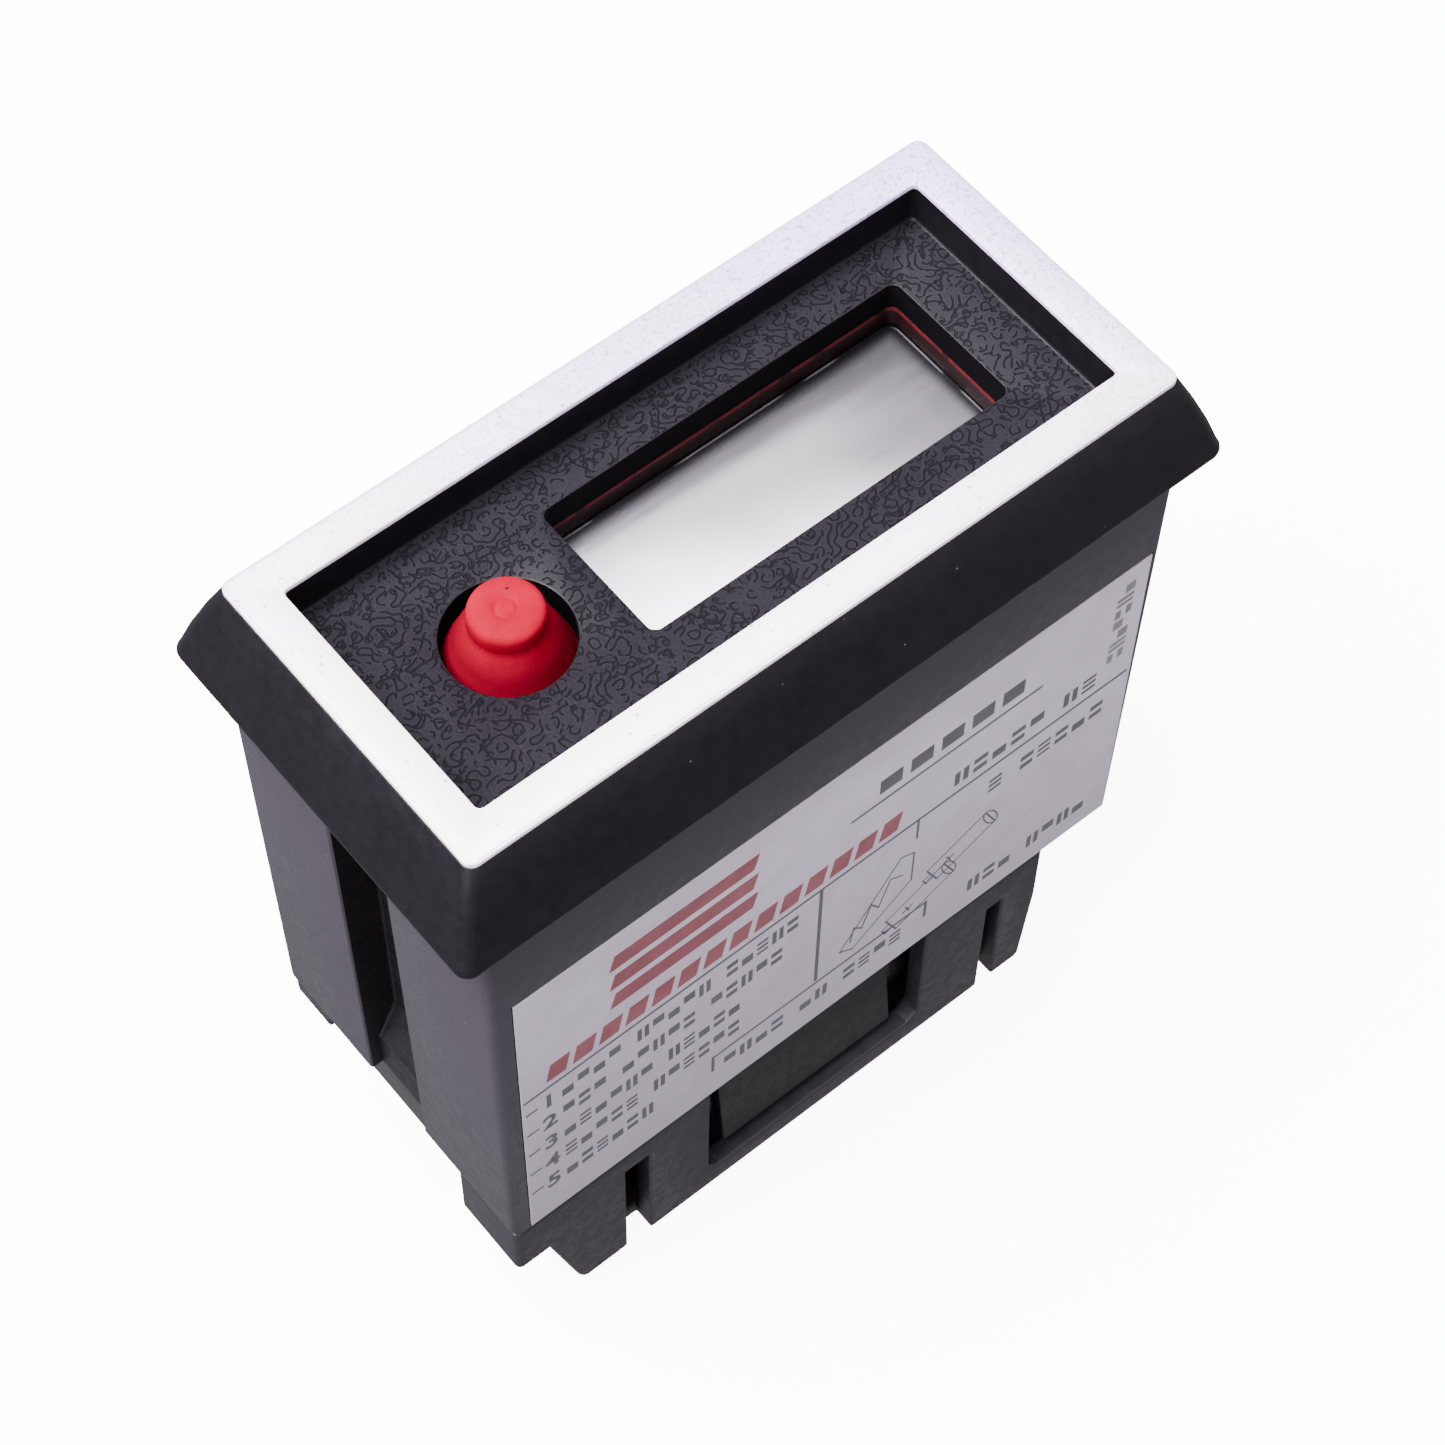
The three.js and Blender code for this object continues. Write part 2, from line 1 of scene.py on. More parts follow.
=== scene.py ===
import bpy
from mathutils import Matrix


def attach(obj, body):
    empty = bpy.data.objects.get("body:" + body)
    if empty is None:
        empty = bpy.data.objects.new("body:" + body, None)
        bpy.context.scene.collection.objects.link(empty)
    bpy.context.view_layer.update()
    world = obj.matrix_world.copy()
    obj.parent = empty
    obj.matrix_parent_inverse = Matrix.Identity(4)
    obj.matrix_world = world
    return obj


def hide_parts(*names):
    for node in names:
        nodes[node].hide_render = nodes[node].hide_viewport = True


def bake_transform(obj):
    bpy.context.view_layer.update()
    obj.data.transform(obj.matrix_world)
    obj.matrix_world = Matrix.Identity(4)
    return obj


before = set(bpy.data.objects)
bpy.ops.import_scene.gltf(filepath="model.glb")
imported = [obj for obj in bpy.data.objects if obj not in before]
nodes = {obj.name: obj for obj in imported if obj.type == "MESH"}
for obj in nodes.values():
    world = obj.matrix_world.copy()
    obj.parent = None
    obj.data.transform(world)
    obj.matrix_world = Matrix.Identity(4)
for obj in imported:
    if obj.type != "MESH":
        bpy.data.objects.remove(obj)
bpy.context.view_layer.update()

import math
import random

import bmesh
import bpy
import numpy as np
from mathutils import Matrix, Vector

MM = 0.001
scene = bpy.context.scene


# ---------------------------------------------------------------- materials
class Mat:
    """A Principled material whose patterns are laid out in millimetres of the object's own frame."""

    def __init__(self, name, stretch=(1, 1, 1)):
        self.m = bpy.data.materials.new(name)
        self.m.use_nodes = True
        self.nt = self.m.node_tree
        self.nt.nodes.clear()
        self.out = self.nt.nodes.new("ShaderNodeOutputMaterial")
        self.b = self.nt.nodes.new("ShaderNodeBsdfPrincipled")
        self.nt.links.new(self.b.outputs[0], self.out.inputs[0])
        tc = self.nt.nodes.new("ShaderNodeTexCoord")
        mp = self.nt.nodes.new("ShaderNodeMapping")
        mp.inputs["Scale"].default_value = [1000 * s for s in stretch]
        self.nt.links.new(tc.outputs["Object"], mp.inputs["Vector"])
        self.co = mp.outputs[0]

    def put(self, node, index, value):
        if hasattr(value, "is_linked"):
            self.nt.links.new(value, node.inputs[index])
        else:
            node.inputs[index].default_value = value

    def math(self, op, a, b=0.0, c=None, clamp=False):
        n = self.nt.nodes.new("ShaderNodeMath")
        n.operation = op
        n.use_clamp = clamp
        self.put(n, 0, a)
        self.put(n, 1, b)
        if c is not None:
            self.put(n, 2, c)
        return n.outputs[0]

    def vmath(self, op, a, b):
        n = self.nt.nodes.new("ShaderNodeVectorMath")
        n.operation = op
        self.put(n, 0, a)
        if op == "SCALE":
            self.put(n, "Scale", b)
        else:
            self.put(n, 1, b)
        return n.outputs[0]

    def axis(self, which):
        n = self.nt.nodes.new("ShaderNodeSeparateXYZ")
        self.nt.links.new(self.co, n.inputs[0])
        return n.outputs["XYZ".index(which)]

    def noise(self, scale, detail=3.0, rough=0.55, warp=0.0, co=None, colour=False):
        n = self.nt.nodes.new("ShaderNodeTexNoise")
        n.inputs["Scale"].default_value = scale
        n.inputs["Detail"].default_value = detail
        n.inputs["Roughness"].default_value = rough
        n.inputs["Distortion"].default_value = warp
        self.nt.links.new(co or self.co, n.inputs["Vector"])
        return n.outputs["Color" if colour else "Fac"]

    def cells(self, scale, feature="F1", co=None, rand=1.0):
        n = self.nt.nodes.new("ShaderNodeTexVoronoi")
        n.feature = feature
        n.inputs["Scale"].default_value = scale
        n.inputs["Randomness"].default_value = rand
        self.nt.links.new(co or self.co, n.inputs["Vector"])
        return n.outputs["Distance"]

    def waves(self, n, length, seed, spread=0.12, x=None, y=None):
        """Plane waves of one length in many directions. Their level lines wander like leather grain; returns height and slope."""
        rng = random.Random(seed)
        x, y = x or self.axis("X"), y or self.axis("Y")
        f = gx = gy = None
        for i in range(n):
            a = math.pi * (i + rng.uniform(-0.3, 0.3)) / n
            k = 2 * math.pi / (length * (1 + rng.uniform(-spread, spread)))
            kx, ky = k * math.cos(a), k * math.sin(a)
            ph = self.math("MULTIPLY_ADD", x, kx, self.math("MULTIPLY_ADD", y, ky, rng.uniform(0, 6.283)))
            c, s = self.math("COSINE", ph), self.math("SINE", ph)
            f = c if f is None else self.math("ADD", f, c)
            gx = self.math("MULTIPLY", s, kx) if gx is None else self.math("MULTIPLY_ADD", s, kx, gx)
            gy = self.math("MULTIPLY", s, ky) if gy is None else self.math("MULTIPLY_ADD", s, ky, gy)
        slope = self.math("SQRT", self.math("ADD", self.math("MULTIPLY", gx, gx), self.math("MULTIPLY", gy, gy)))
        return f, slope

    def step(self, value, lo, hi, a=0.0, b=1.0, smooth=True):
        n = self.nt.nodes.new("ShaderNodeMapRange")
        n.interpolation_type = "SMOOTHSTEP" if smooth else "LINEAR"
        self.put(n, "Value", value)
        n.inputs["From Min"].default_value = lo
        n.inputs["From Max"].default_value = hi
        n.inputs["To Min"].default_value = a
        n.inputs["To Max"].default_value = b
        return n.outputs[0]

    def mix(self, fac, a, b, how="MIX"):
        n = self.nt.nodes.new("ShaderNodeMix")
        n.data_type = "RGBA"
        n.blend_type = how
        self.put(n, 0, fac)
        self.put(n, 6, (*a, 1) if isinstance(a, tuple) else a)
        self.put(n, 7, (*b, 1) if isinstance(b, tuple) else b)
        return n.outputs[2]

    def bump(self, height, strength, depth_mm, under=None):
        n = self.nt.nodes.new("ShaderNodeBump")
        n.inputs["Strength"].default_value = strength
        n.inputs["Distance"].default_value = depth_mm * MM
        self.nt.links.new(height, n.inputs["Height"])
        if under is not None:
            self.nt.links.new(under, n.inputs["Normal"])
        return n.outputs[0]

    def set(self, **kw):
        for k, v in kw.items():
            self.put(self.b, k.replace("_", " "), v)
        return self


def grained(name, dark, light, rough, grain=5.0, depth=0.012, speck=None, speck_at=0.06, level=0.5, mottle=0.35,
            metallic=0.0, coat=0.0, stretch=(1, 1, 1), scratch=0.0, wide=0.12, rim=None):
    """Moulded plastic, rubber, paint or metal: mottled colour, uneven gloss, fine grain, faint rubbing and dust specks,
    and with rim a painted highlight band.
    """
    t = Mat(name, stretch)
    big = t.noise(wide, 3, 0.6)
    mid = t.noise(mottle * 2.6, 4, 0.6, 0.4)
    fine = t.noise(grain, 3, 0.6)
    blend = t.math("ADD", t.math("MULTIPLY", big, 0.45), t.math("MULTIPLY", mid, 0.55))
    base = t.mix(t.step(blend, 0.32, 0.68), dark, light)
    base = t.mix(t.math("MULTIPLY", t.step(fine, 0.35, 0.75), 0.25), base, light)
    r = t.math("ADD", t.step(mid, 0.3, 0.7, rough - 0.07, rough + 0.08), t.step(fine, 0.3, 0.7, -0.05, 0.05))
    if speck is not None:
        dots = t.cells(0.55)
        pick = t.noise(0.5, 1)
        spot = t.math("MULTIPLY", t.step(dots, speck_at * 0.6, speck_at, 1, 0), t.step(pick, 0.52, 0.6))
        base = t.mix(spot, base, speck)
    # rim paints a highlight: a lighter band between two heights, where an edge catches the light
    if rim is not None:
        z = t.axis("Z")
        band = t.math("MULTIPLY", t.step(z, rim[0] - 0.05, rim[0]), t.step(z, rim[1], rim[1] + 0.05, 1, 0))
        base = t.mix(t.math("MULTIPLY", band, t.step(mid, 0.3, 0.6, 0.45, 0.85)), base, rim[2])
    height = t.math("ADD", t.math("MULTIPLY", fine, 0.9), t.math("MULTIPLY", mid, 0.15))
    if scratch:
        lines = t.noise(1.0, 4, 0.7, 0, t.vmath("MULTIPLY", t.co, (0.35, 7.0, 7.0)))
        thin = t.step(lines, 0.6, 0.64)
        r = t.math("ADD", r, t.math("MULTIPLY", thin, scratch))
        height = t.math("SUBTRACT", height, t.math("MULTIPLY", thin, 0.5))
    t.set(Base_Color=base, Roughness=r, Metallic=metallic, Specular_IOR_Level=level, Coat_Weight=coat)
    t.set(Normal=t.bump(height, 0.6, depth))
    return t.m


def flat_film(name, pale, mid, rough=0.3):
    """Printed sheet: tiny surface waves and a weak paper-like mottle."""
    t = Mat(name)
    a = t.noise(0.22, 3, 0.6, 0.5)
    f = t.noise(9.0, 2, 0.5)
    base = t.mix(t.step(a, 0.3, 0.7), pale, mid)
    base = t.mix(t.math("MULTIPLY", t.step(f, 0.5, 0.8), 0.12), base, (0.25, 0.22, 0.26))
    t.set(Base_Color=base, Roughness=t.step(a, 0.3, 0.7, rough, rough + 0.12), Specular_IOR_Level=0.4)
    t.set(Normal=t.bump(f, 0.25, 0.01, t.bump(a, 0.4, 0.05)))
    return t.m


FLOOR_A, FLOOR_B, FLOOR_C = (0.0058, 0.0046, 0.0072), (0.0074, 0.0058, 0.0091), (0.0115, 0.0092, 0.0138)
CASE = grained("case_plastic", (0.0245, 0.0192, 0.0290), (0.0285, 0.0226, 0.0337), 0.42, 6.5, 0.010, (0.10, 0.09, 0.10), 0.05, 0.42)
# the bezel's lower flare rim gets a painted highlight band
BEZEL = grained("bezel_plastic", (0.0034, 0.0027, 0.0041), (0.0054, 0.0042, 0.0064), 0.40, 6.5, 0.010, (0.12, 0.11, 0.12), 0.045, 0.13, scratch=0.12, rim=(64.84, 65.02, (0.030, 0.026, 0.033)))
COVER = grained("cover_plastic", (0.0138, 0.0107, 0.0162), (0.0172, 0.0135, 0.0203), 0.46, 6.5, 0.010, (0.08, 0.07, 0.08), 0.045, 0.32)
INNER = grained("inner_plastic", (0.0050, 0.0038, 0.0056), (0.0072, 0.0056, 0.0080), 0.5, 5.0, 0.012, level=0.3)
# painted shade: a near-black copy of the bezel plastic for the walls of the window and the button hole, which stand in
# shade
WELL_SHADE = grained("well_painted_shade", (0.0013, 0.0010, 0.0015), (0.0021, 0.0017, 0.0024), 0.70, 6.0, 0.01, level=0.03)
# painted shade: a darker copy of the case plastic for the faces inside the end grooves, which stand in shade
GROOVE_SHADE = grained("groove_painted_shade", (0.0041, 0.0031, 0.0046), (0.0063, 0.0048, 0.0071), 0.5, 6.0, 0.012, level=0.2)
PALE = grained("holder_plastic", (0.55, 0.54, 0.50), (0.66, 0.65, 0.61), 0.5, 4.0, 0.02)
TERM = grained("terminal_plastic", (0.014, 0.0122, 0.0155), (0.020, 0.0175, 0.0220), 0.48, 4.0, 0.02)
ELAST = grained("elastomer", (0.34, 0.35, 0.36), (0.46, 0.47, 0.48), 0.6, 3.0, 0.02)
CHIP = grained("chip_epoxy", (0.012, 0.012, 0.013), (0.022, 0.022, 0.024), 0.5, 8.0, 0.02, (0.2, 0.2, 0.2), 0.04)
STEEL = grained("screw_steel", (0.42, 0.42, 0.43), (0.62, 0.61, 0.60), 0.28, 5.0, 0.01, metallic=1.0, scratch=0.15)
TIN = grained("contact_tin", (0.55, 0.55, 0.54), (0.74, 0.73, 0.71), 0.3, 4.0, 0.01, metallic=1.0, scratch=0.2)
BRASS = grained("clamp_brass", (0.50, 0.36, 0.13), (0.70, 0.53, 0.24), 0.3, 4.0, 0.01, metallic=1.0, scratch=0.2)
CARBON = grained("carbon_pill", (0.010, 0.010, 0.010), (0.020, 0.020, 0.020), 0.6, 7.0, 0.02)
CERAMIC = grained("component_body", (0.45, 0.24, 0.08), (0.62, 0.36, 0.13), 0.42, 4.0, 0.02)
SLEEVE = grained("capacitor_sleeve", (0.02, 0.035, 0.09), (0.035, 0.055, 0.14), 0.3, 4.0, 0.01, coat=0.3)
LABEL = flat_film("label_film", (0.53, 0.465, 0.56), (0.475, 0.415, 0.50), 0.34)
INK = flat_film("ink_black", (0.070, 0.062, 0.076), (0.100, 0.092, 0.110), 0.4)
INKRED = flat_film("ink_red", (0.27, 0.075, 0.09), (0.21, 0.055, 0.07), 0.4)
INKGREY = flat_film("ink_grey", (0.16, 0.14, 0.17), (0.22, 0.20, 0.23), 0.4)


def seal_rubber():
    """Dark maroon rubber whose upper edge shows redder."""
    t = Mat("seal_rubber")
    z = t.axis("Z")
    mid = t.noise(0.6, 3, 0.6)
    fine = t.noise(6.0, 3, 0.6)
    base = t.mix(mid, (0.005, 0.0008, 0.0013), (0.010, 0.0011, 0.0020))
    edge = t.math("MULTIPLY", t.step(t.math("ADD", z, t.math("MULTIPLY", mid, 0.3)), 66.68, 66.84), t.step(mid, 0.36, 0.5))
    base = t.mix(edge, base, (0.055, 0.004, 0.006))
    t.set(Base_Color=base, Roughness=t.step(fine, 0.3, 0.7, 0.5, 0.62), Specular_IOR_Level=0.15)
    t.set(Normal=t.bump(fine, 0.5, 0.02))
    return t.m


def red_rubber():
    t = Mat("button_rubber")
    big = t.noise(0.5, 3, 0.55)
    fine = t.noise(7.0, 3, 0.6)
    base = t.mix(t.step(big, 0.3, 0.7), (0.176, 0.0001, 0.0085), (0.216, 0.0002, 0.0120))
    base = t.mix(t.math("MULTIPLY", t.step(fine, 0.55, 0.75), 0.35), base, (0.24, 0.0012, 0.020))
    # painted shade darkens the skirt below the cap, where it sits down in the hole, and a tiny moulding pip marks the
    # cap near its rim
    base = t.mix(t.step(t.axis("Z"), 69.6, 71.6, 0.62, 0.0), base, (0.045, 0.0008, 0.0045))
    pip = t.nt.nodes.new("ShaderNodeVectorMath")
    pip.operation = "DISTANCE"
    t.put(pip, 0, t.co)
    t.put(pip, 1, (-15.57, 1.56, 72.95))
    base = t.mix(t.step(pip.outputs["Value"], 0.07, 0.13, 0.9, 0.0), base, (0.02, 0.0005, 0.002))
    dust = t.step(t.cells(1.1), 0.05, 0.09, 1, 0)
    dust = t.math("MULTIPLY", dust, t.step(t.noise(0.7, 1), 0.55, 0.6))
    base = t.mix(dust, base, (0.22, 0.02, 0.03))
    t.set(Base_Color=base, Roughness=t.step(fine, 0.3, 0.7, 0.46, 0.60), Specular_IOR_Level=0.015)
    t.set(Normal=t.bump(fine, 0.5, 0.02, t.bump(big, 0.3, 0.08)))
    return t.m


def grain_floor():
    """Leather-like moulded grain: short squiggles and small closed loops sunk into a satin ground, darkened with
    painted shade and edged with a painted highlight.
    """
    t = Mat("recess_grain")
    jog = t.noise(1.6, 1, 0.5)
    f, g = t.waves(8, 1.0, 5)
    f = t.math("ADD", f, t.math("MULTIPLY", t.math("SUBTRACT", jog, 0.5), 2.4))
    near = t.math("DIVIDE", t.math("ABSOLUTE", t.math("SUBTRACT", f, 0.45)), t.math("ADD", g, 2.5))
    line = t.math("MULTIPLY", t.step(near, 0.026, 0.074, 1, 0), t.step(t.noise(1.1, 1, 0.5), 0.42, 0.48))
    f2, g2 = t.waves(6, 0.9, 9)
    near2 = t.math("DIVIDE", t.math("ABSOLUTE", t.math("SUBTRACT", f2, 1.7)), t.math("ADD", g2, 2.5))
    some = t.step(t.noise(0.7, 1, 0.5, 0, t.vmath("ADD", t.co, (9.0, 4.0, 0.0))), 0.50, 0.56)
    line = t.math("MAXIMUM", line, t.math("MULTIPLY", t.step(near2, 0.024, 0.068, 1, 0), some))
    # painted highlight: a paler band beside each sunk line
    ridge_highlight = t.math("MULTIPLY", t.step(near, 0.085, 0.115), t.step(near, 0.14, 0.20, 1, 0))
    fine = t.noise(6.0, 3, 0.6)
    wide = t.noise(0.1, 2, 0.5)
    ground = t.mix(t.step(wide, 0.3, 0.7), FLOOR_A, FLOOR_B)
    ground = t.mix(t.math("MULTIPLY", t.step(fine, 0.4, 0.7), 0.3), ground, FLOOR_C)
    base = t.mix(t.math("MULTIPLY", ridge_highlight, 0.22), ground, (0.020, 0.0165, 0.025))
    # painted shade: the sunk lines are darkened in colour as well as dented by the bump
    base = t.mix(t.math("MULTIPLY", line, 0.62), base, (0.0011, 0.0009, 0.0013))
    t.set(Base_Color=base, Specular_IOR_Level=0.08)
    t.set(Roughness=t.math("ADD", t.step(fine, 0.3, 0.7, 0.42, 0.52), t.math("MULTIPLY", line, 0.15)))
    up = t.math("SUBTRACT", t.math("MULTIPLY", fine, 0.12), line)
    t.set(Normal=t.bump(up, 1.0, 0.11))
    return t.m


def trim_silver():
    t = Mat("trim_silver")
    a = t.noise(0.15, 2, 0.5)
    fine = t.noise(3.8, 3, 0.7)
    dots = t.step(t.cells(1.3), 0.13, 0.22, 1, 0)
    pick = t.step(t.noise(0.9, 2, 0.6), 0.52, 0.58)
    speck = t.math("MULTIPLY", dots, pick)
    small = t.math("MULTIPLY", t.step(t.cells(3.1), 0.14, 0.22, 1, 0), t.step(t.noise(1.7, 2, 0.6), 0.6, 0.66))
    x, y = t.axis("X"), t.axis("Y")
    # painted shade: the trim darkens and turns lilac toward the far right, and its sand grain shows stronger there
    far = t.step(t.math("ADD", t.math("MULTIPLY", x, 0.030), t.math("MULTIPLY", y, 0.055)), -0.9, 1.3)
    base = t.mix(t.step(a, 0.3, 0.7), (0.97, 0.96, 0.99), (0.94, 0.93, 0.98))
    base = t.mix(t.math("MULTIPLY", far, 0.92), base, (0.56, 0.47, 0.80))
    sand = t.math("MULTIPLY", t.step(fine, 0.50, 0.66), t.math("MULTIPLY_ADD", far, 0.62, 0.14))
    base = t.mix(sand, base, (0.17, 0.15, 0.24))
    edge = t.math("MINIMUM", t.math("SUBTRACT", 30.0, t.math("ABSOLUTE", x)), t.math("SUBTRACT", 13.45, t.math("ABSOLUTE", y)))
    rule = t.math("MULTIPLY", t.step(edge, 0.12, 0.17), t.step(edge, 0.24, 0.30, 1, 0))
    base = t.mix(t.math("MULTIPLY", rule, 0.5), base, (0.36, 0.34, 0.40))
    base = t.mix(t.math("MULTIPLY", speck, 0.70), base, (0.30, 0.27, 0.36))
    base = t.mix(t.math("MULTIPLY", small, 0.6), base, (0.45, 0.42, 0.50))
    t.set(Base_Color=base, Metallic=0.12, Roughness=t.step(fine, 0.3, 0.7, 0.34, 0.46))
    t.set(Normal=t.bump(fine, 0.3, 0.01))
    return t.m


def display_silver(edged):
    """Reflective display film with a painted reflection, paler toward the near left and greyer toward the far right,
    with faint dirt.
    """
    t = Mat("display_silver" if edged else "reflector_silver")
    x, y = t.axis("X"), t.axis("Y")
    soft = t.noise(0.07, 2, 0.5)
    # painted reflection: pale at the near left, fading to grey at the far right, warped by soft noise
    s = t.math("ADD", t.math("MULTIPLY", x, 0.040), t.math("MULTIPLY", y, 0.125))
    s = t.math("ADD", s, t.math("MULTIPLY", t.math("SUBTRACT", soft, 0.5), 0.8))
    base = t.mix(t.step(s, -0.95, 0.42), (0.95, 0.93, 1.0), (0.175, 0.168, 0.188))
    base = t.mix(t.step(s, 0.42, 1.40), base, (0.086, 0.082, 0.092))
    fine = t.noise(9.0, 3, 0.6)
    blot = t.noise(1.0, 3, 0.6, 0.2, t.vmath("MULTIPLY", t.co, (0.10, 0.55, 1.0)))
    base = t.mix(t.math("MULTIPLY", t.step(blot, 0.35, 0.75), 0.06), base, t.mix(0.5, base, (0.60, 0.58, 0.74)))
    dirt = t.math("MULTIPLY", t.step(t.cells(0.8), 0.04, 0.08, 1, 0), t.step(t.noise(0.6, 1), 0.56, 0.62))
    base = t.mix(t.math("MULTIPLY", dirt, 0.5), base, (0.16, 0.14, 0.18))
    rough = t.step(blot, 0.3, 0.7, 0.20, 0.30)
    if edged:
        # the film's own border shows along the far and right sides, broken here and there; inside it, painted shade of
        # the window walls darkens the film
        qx, qy = t.math("SUBTRACT", x, 22.17 - 1.0), t.math("SUBTRACT", y, 6.80 - 1.0)
        px, py = t.math("MAXIMUM", qx, 0.0), t.math("MAXIMUM", qy, 0.0)
        outside = t.math("SQRT", t.math("ADD", t.math("MULTIPLY", px, px), t.math("MULTIPLY", py, py)))
        inside = t.math("MINIMUM", t.math("MAXIMUM", qx, qy), 0.0)
        d = t.math("SUBTRACT", 1.0, t.math("ADD", inside, outside))
        base = t.mix(t.step(d, 0.25, 1.5, 0.93, 0.0), base, (0.006, 0.005, 0.007))
        gaps = t.step(t.noise(0.17, 1, 0.5, 0, t.vmath("ADD", t.co, (3.0, 8.0, 0.0))), 0.44, 0.52)
        rim = t.math("MULTIPLY", t.math("MULTIPLY", t.step(d, 0.05, 0.12), t.step(d, 0.17, 0.27, 1, 0)), gaps)
        base = t.mix(t.math("MULTIPLY", rim, 0.8), base, (0.17, 0.16, 0.18))
        base = t.mix(t.step(d, 0.04, 0.07, 1, 0), base, (0.004, 0.003, 0.004))
    t.set(Base_Color=base, Metallic=0.6, Roughness=rough)
    t.set(Normal=t.bump(fine, 0.10, 0.006))
    return t.m


def glass():
    t = Mat("display_glass")
    fine = t.noise(1.5, 3, 0.6)
    base = t.mix(fine, (0.78, 0.84, 0.80), (0.84, 0.88, 0.85))
    t.set(Base_Color=base, Transmission_Weight=0.85, IOR=1.5, Roughness=t.step(fine, 0.3, 0.7, 0.03, 0.08))
    t.set(Normal=t.bump(fine, 0.1, 0.01))
    return t.m


def board():
    """Solder mask over copper tracks, with pads."""
    t = Mat("circuit_board")
    br = t.nt.nodes.new("ShaderNodeTexBrick")
    br.offset = 0.37
    br.inputs["Scale"].default_value = 0.42
    br.inputs["Mortar Size"].default_value = 0.035
    br.inputs["Color1"].default_value = (0.012, 0.075, 0.035, 1)
    br.inputs["Color2"].default_value = (0.015, 0.085, 0.040, 1)
    br.inputs["Mortar"].default_value = (0.05, 0.19, 0.07, 1)
    t.nt.links.new(t.co, br.inputs["Vector"])
    fine = t.noise(5.0, 3, 0.6)
    pads = t.math("MULTIPLY", t.step(t.cells(0.45), 0.20, 0.24, 1, 0), t.step(t.noise(0.3, 1), 0.5, 0.52))
    base = t.mix(pads, br.outputs["Color"], (0.60, 0.58, 0.52))
    base = t.mix(t.math("MULTIPLY", fine, 0.15), base, (0.02, 0.05, 0.03))
    t.set(Base_Color=base, Metallic=t.math("MULTIPLY", pads, 0.9), Roughness=t.step(fine, 0.3, 0.7, 0.28, 0.4))
    t.set(Normal=t.bump(t.math("ADD", br.outputs["Fac"], t.math("MULTIPLY", pads, 2.0)), 0.5, 0.03))
    return t.m


def cell_jacket():
    """Plain battery jacket, dark with one copper-coloured band round the middle."""
    t = Mat("cell_jacket")
    x = t.axis("X")
    fine = t.noise(4.0, 3, 0.6)
    rub = t.noise(0.8, 4, 0.7, 0, t.vmath("MULTIPLY", t.co, (1, 5, 5)))
    cu = t.math("MULTIPLY", t.step(x, -5.05, -4.95), t.step(x, -1.05, -0.95, 1, 0))
    base = t.mix(cu, (0.010, 0.010, 0.013), (0.55, 0.24, 0.08))
    base = t.mix(t.math("MULTIPLY", t.step(rub, 0.55, 0.7), 0.10), base, (0.12, 0.11, 0.11))
    t.set(Base_Color=base, Metallic=t.step(cu, 0, 1, 0.2, 0.8), Roughness=t.step(fine, 0.3, 0.7, 0.24, 0.36), Coat_Weight=0.3)
    t.set(Normal=t.bump(fine, 0.3, 0.01))
    return t.m


SEAL = seal_rubber()
RED = red_rubber()
GRAIN = grain_floor()
TRIM = trim_silver()
SILVER = display_silver(True)
REFLECTOR = display_silver(False)
GLASS = glass()
BOARD = board()
JACKET = cell_jacket()


# ---------------------------------------------------------------- shapes
def thing(name, verts, faces, mats=()):
    me = bpy.data.meshes.new(name)
    me.from_pydata([tuple(c * MM for c in v) for v in verts], [], [tuple(f) for f in faces])
    me.validate()
    o = bpy.data.objects.new(name, me)
    scene.collection.objects.link(o)
    for m in mats:
        me.materials.append(m)
    return o


def outward(o):
    bm = bmesh.new()
    bm.from_mesh(o.data)
    bmesh.ops.recalc_face_normals(bm, faces=bm.faces)
    bm.to_mesh(o.data)
    bm.free()
    return o


def ring(hx, hy, r, z, n=9, cx=0.0, cy=0.0):
    pts = []
    for k, (sx, sy) in enumerate(((1, 1), (-1, 1), (-1, -1), (1, -1))):
        for i in range(n + 1):
            a = math.pi / 2 * (k + i / n)
            pts.append((cx + sx * (hx - r) + r * math.cos(a), cy + sy * (hy - r) + r * math.sin(a), z))
    return pts


def loft(name, rings, mats=()):
    n = len(rings[0])
    verts = [p for g in rings for p in g]
    faces = [list(range(n))[::-1], [(len(rings) - 1) * n + i for i in range(n)]]
    for k in range(len(rings) - 1):
        for i in range(n):
            j = (i + 1) % n
            faces.append((k * n + i, k * n + j, (k + 1) * n + j, (k + 1) * n + i))
    return outward(thing(name, verts, faces, mats))


def lathe(name, profile, cx, cy, mats=(), seg=96):
    """A profile of (radius, height) turned about a vertical axis; a radius of 0 closes it."""
    verts, rows = [], []
    for r, z in profile:
        if r == 0:
            rows.append([len(verts)])
            verts.append((cx, cy, z))
        else:
            rows.append(list(range(len(verts), len(verts) + seg)))
            verts += [(cx + r * math.cos(2 * math.pi * i / seg), cy + r * math.sin(2 * math.pi * i / seg), z) for i in range(seg)]
    faces = []
    pairs = list(zip(rows, rows[1:]))
    if len(rows[0]) > 1 and len(rows[-1]) > 1:
        pairs.append((rows[-1], rows[0]))
    for a, b in pairs:
        for i in range(seg):
            j = (i + 1) % seg
            if len(a) == 1:
                faces.append((a[0], b[j], b[i]))
            elif len(b) == 1:
                faces.append((a[i], a[j], b[0]))
            else:
                faces.append((a[i], a[j], b[j], b[i]))
    return outward(thing(name, verts, faces, mats))


def baked(o):
    dg = bpy.context.evaluated_depsgraph_get()
    dg.update()
    me = bpy.data.meshes.new_from_object(o.evaluated_get(dg), preserve_all_data_layers=True, depsgraph=dg)
    o.modifiers.clear()
    old = o.data
    o.data = me
    bpy.data.meshes.remove(old)
    return o


def cut(a, b, how="DIFFERENCE"):
    m = a.modifiers.new("cut", "BOOLEAN")
    m.operation = how
    m.solver = "EXACT"
    m.object = b
    baked(a)
    bpy.data.objects.remove(b)
    return a


